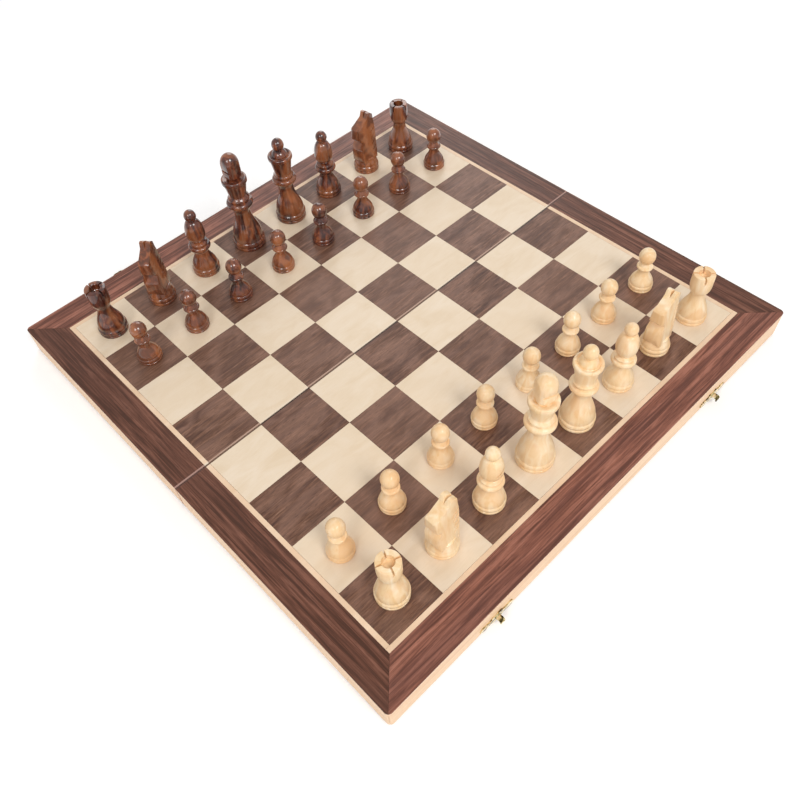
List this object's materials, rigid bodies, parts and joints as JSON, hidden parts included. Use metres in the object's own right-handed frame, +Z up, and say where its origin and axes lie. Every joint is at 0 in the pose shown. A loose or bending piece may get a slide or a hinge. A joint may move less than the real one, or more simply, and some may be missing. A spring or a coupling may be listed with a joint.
{
  "type": "folding chess box",
  "caption": "Folding wooden chess box opened flat as a board, with brass catches and hasps, hinged trays and a full set of turned chessmen standing in their opening places.",
  "frame": {"origin": "Middle of the front tray's edge on the fold, in the plane of the rims that stand on the table.", "axes": "+X runs along the fold towards the h file, +Y from the light men's side to the dark men's side, +Z up."},
  "size_m": [0.38, 0.4036, 0.1026],
  "materials": {
    "beech_panel": "satin",
    "beech_walls": "satin",
    "walnut_border": "satin",
    "walnut_squares": "satin",
    "maple_line": "satin",
    "maple_squares": "satin",
    "felt_lining": "matte",
    "brass_fittings": "polished",
    "light_boxwood": "satin",
    "dark_stained_wood": "polished"
  },
  "bodies": {
    "base": {"base_panel": "beech_panel", "base_border": "walnut_border", "base_line": "maple_line", "base_dark_squares": "walnut_squares", "base_light_squares": "maple_squares", "base_outer_wall": "beech_walls", "base_hinge_wall": "beech_walls", "base_side_walls": "beech_walls", "base_felt": "felt_lining", "base_hinge_leaves": "brass_fittings", "base_screws": "brass_fittings", "catch_plates": "brass_fittings", "hinge_pins": "brass_fittings"},
    "lid": {"lid_panel": "beech_panel", "lid_border": "walnut_border", "lid_line": "maple_line", "lid_dark_squares": "walnut_squares", "lid_light_squares": "maple_squares", "lid_outer_wall": "beech_walls", "lid_hinge_wall": "beech_walls", "lid_side_walls": "beech_walls", "lid_felt": "felt_lining", "lid_hinge_leaves": "brass_fittings", "lid_screws": "brass_fittings", "hasp_plates": "brass_fittings", "hasp_pins": "brass_fittings"},
    "hasp_left": {"hasp_left": "brass_fittings"},
    "hasp_right": {"hasp_right": "brass_fittings"},
    "light_rook_a": {"light_rook_a": "light_boxwood"},
    "light_knight_b": {"light_knight_b": "light_boxwood"},
    "light_bishop_c": {"light_bishop_c": "light_boxwood"},
    "light_king_d": {"light_king_d": "light_boxwood"},
    "light_queen_e": {"light_queen_e": "light_boxwood"},
    "light_bishop_f": {"light_bishop_f": "light_boxwood"},
    "light_knight_g": {"light_knight_g": "light_boxwood"},
    "light_rook_h": {"light_rook_h": "light_boxwood"},
    "light_pawn_a": {"light_pawn_a": "light_boxwood"},
    "light_pawn_b": {"light_pawn_b": "light_boxwood"},
    "light_pawn_c": {"light_pawn_c": "light_boxwood"},
    "light_pawn_d": {"light_pawn_d": "light_boxwood"},
    "light_pawn_e": {"light_pawn_e": "light_boxwood"},
    "light_pawn_f": {"light_pawn_f": "light_boxwood"},
    "light_pawn_g": {"light_pawn_g": "light_boxwood"},
    "light_pawn_h": {"light_pawn_h": "light_boxwood"},
    "dark_rook_a": {"dark_rook_a": "dark_stained_wood"},
    "dark_knight_b": {"dark_knight_b": "dark_stained_wood"},
    "dark_bishop_c": {"dark_bishop_c": "dark_stained_wood"},
    "dark_king_d": {"dark_king_d": "dark_stained_wood"},
    "dark_queen_e": {"dark_queen_e": "dark_stained_wood"},
    "dark_bishop_f": {"dark_bishop_f": "dark_stained_wood"},
    "dark_knight_g": {"dark_knight_g": "dark_stained_wood"},
    "dark_rook_h": {"dark_rook_h": "dark_stained_wood"},
    "dark_pawn_a": {"dark_pawn_a": "dark_stained_wood"},
    "dark_pawn_b": {"dark_pawn_b": "dark_stained_wood"},
    "dark_pawn_c": {"dark_pawn_c": "dark_stained_wood"},
    "dark_pawn_d": {"dark_pawn_d": "dark_stained_wood"},
    "dark_pawn_e": {"dark_pawn_e": "dark_stained_wood"},
    "dark_pawn_f": {"dark_pawn_f": "dark_stained_wood"},
    "dark_pawn_g": {"dark_pawn_g": "dark_stained_wood"},
    "dark_pawn_h": {"dark_pawn_h": "dark_stained_wood"}
  },
  "joints": [
    {"name": "fold", "type": "hinge", "parent": "base", "child": "lid", "pos_m": [0, 0.0002, -0.0001], "axis": [-1, 0, 0], "range_deg": [0, 180]},
    {"name": "hasp_left_hinge", "type": "hinge", "parent": "lid", "child": "hasp_left", "pos_m": [-0.107, 0.1924, 0.0072], "axis": [1, 0, 0], "range_deg": [-78, 85]},
    {"name": "hasp_right_hinge", "type": "hinge", "parent": "lid", "child": "hasp_right", "pos_m": [0.107, 0.1924, 0.0072], "axis": [1, 0, 0], "range_deg": [-100, 63]},
    {"name": "light_rook_a_lift", "type": "slide", "parent": "base", "child": "light_rook_a", "axis": [0, 0, 1], "range_m": [0, 0.12]},
    {"name": "light_knight_b_lift", "type": "slide", "parent": "base", "child": "light_knight_b", "axis": [0, 0, 1], "range_m": [0, 0.12]},
    {"name": "light_bishop_c_lift", "type": "slide", "parent": "base", "child": "light_bishop_c", "axis": [0, 0, 1], "range_m": [0, 0.12]},
    {"name": "light_king_d_lift", "type": "slide", "parent": "base", "child": "light_king_d", "axis": [0, 0, 1], "range_m": [0, 0.12]},
    {"name": "light_queen_e_lift", "type": "slide", "parent": "base", "child": "light_queen_e", "axis": [0, 0, 1], "range_m": [0, 0.12]},
    {"name": "light_bishop_f_lift", "type": "slide", "parent": "base", "child": "light_bishop_f", "axis": [0, 0, 1], "range_m": [0, 0.12]},
    {"name": "light_knight_g_lift", "type": "slide", "parent": "base", "child": "light_knight_g", "axis": [0, 0, 1], "range_m": [0, 0.12]},
    {"name": "light_rook_h_lift", "type": "slide", "parent": "base", "child": "light_rook_h", "axis": [0, 0, 1], "range_m": [0, 0.12]},
    {"name": "light_pawn_a_lift", "type": "slide", "parent": "base", "child": "light_pawn_a", "axis": [0, 0, 1], "range_m": [0, 0.12]},
    {"name": "light_pawn_b_lift", "type": "slide", "parent": "base", "child": "light_pawn_b", "axis": [0, 0, 1], "range_m": [0, 0.12]},
    {"name": "light_pawn_c_lift", "type": "slide", "parent": "base", "child": "light_pawn_c", "axis": [0, 0, 1], "range_m": [0, 0.12]},
    {"name": "light_pawn_d_lift", "type": "slide", "parent": "base", "child": "light_pawn_d", "axis": [0, 0, 1], "range_m": [0, 0.12]},
    {"name": "light_pawn_e_lift", "type": "slide", "parent": "base", "child": "light_pawn_e", "axis": [0, 0, 1], "range_m": [0, 0.12]},
    {"name": "light_pawn_f_lift", "type": "slide", "parent": "base", "child": "light_pawn_f", "axis": [0, 0, 1], "range_m": [0, 0.12]},
    {"name": "light_pawn_g_lift", "type": "slide", "parent": "base", "child": "light_pawn_g", "axis": [0, 0, 1], "range_m": [0, 0.12]},
    {"name": "light_pawn_h_lift", "type": "slide", "parent": "base", "child": "light_pawn_h", "axis": [0, 0, 1], "range_m": [0, 0.12]},
    {"name": "dark_rook_a_lift", "type": "slide", "parent": "lid", "child": "dark_rook_a", "axis": [0, 0, 1], "range_m": [0, 0.12]},
    {"name": "dark_knight_b_lift", "type": "slide", "parent": "lid", "child": "dark_knight_b", "axis": [0, 0, 1], "range_m": [0, 0.12]},
    {"name": "dark_bishop_c_lift", "type": "slide", "parent": "lid", "child": "dark_bishop_c", "axis": [0, 0, 1], "range_m": [0, 0.12]},
    {"name": "dark_king_d_lift", "type": "slide", "parent": "lid", "child": "dark_king_d", "axis": [0, 0, 1], "range_m": [0, 0.12]},
    {"name": "dark_queen_e_lift", "type": "slide", "parent": "lid", "child": "dark_queen_e", "axis": [0, 0, 1], "range_m": [0, 0.12]},
    {"name": "dark_bishop_f_lift", "type": "slide", "parent": "lid", "child": "dark_bishop_f", "axis": [0, 0, 1], "range_m": [0, 0.12]},
    {"name": "dark_knight_g_lift", "type": "slide", "parent": "lid", "child": "dark_knight_g", "axis": [0, 0, 1], "range_m": [0, 0.12]},
    {"name": "dark_rook_h_lift", "type": "slide", "parent": "lid", "child": "dark_rook_h", "axis": [0, 0, 1], "range_m": [0, 0.12]},
    {"name": "dark_pawn_a_lift", "type": "slide", "parent": "lid", "child": "dark_pawn_a", "axis": [0, 0, 1], "range_m": [0, 0.12]},
    {"name": "dark_pawn_b_lift", "type": "slide", "parent": "lid", "child": "dark_pawn_b", "axis": [0, 0, 1], "range_m": [0, 0.12]},
    {"name": "dark_pawn_c_lift", "type": "slide", "parent": "lid", "child": "dark_pawn_c", "axis": [0, 0, 1], "range_m": [0, 0.12]},
    {"name": "dark_pawn_d_lift", "type": "slide", "parent": "lid", "child": "dark_pawn_d", "axis": [0, 0, 1], "range_m": [0, 0.12]},
    {"name": "dark_pawn_e_lift", "type": "slide", "parent": "lid", "child": "dark_pawn_e", "axis": [0, 0, 1], "range_m": [0, 0.12]},
    {"name": "dark_pawn_f_lift", "type": "slide", "parent": "lid", "child": "dark_pawn_f", "axis": [0, 0, 1], "range_m": [0, 0.12]},
    {"name": "dark_pawn_g_lift", "type": "slide", "parent": "lid", "child": "dark_pawn_g", "axis": [0, 0, 1], "range_m": [0, 0.12]},
    {"name": "dark_pawn_h_lift", "type": "slide", "parent": "lid", "child": "dark_pawn_h", "axis": [0, 0, 1], "range_m": [0, 0.12]}
  ]
}
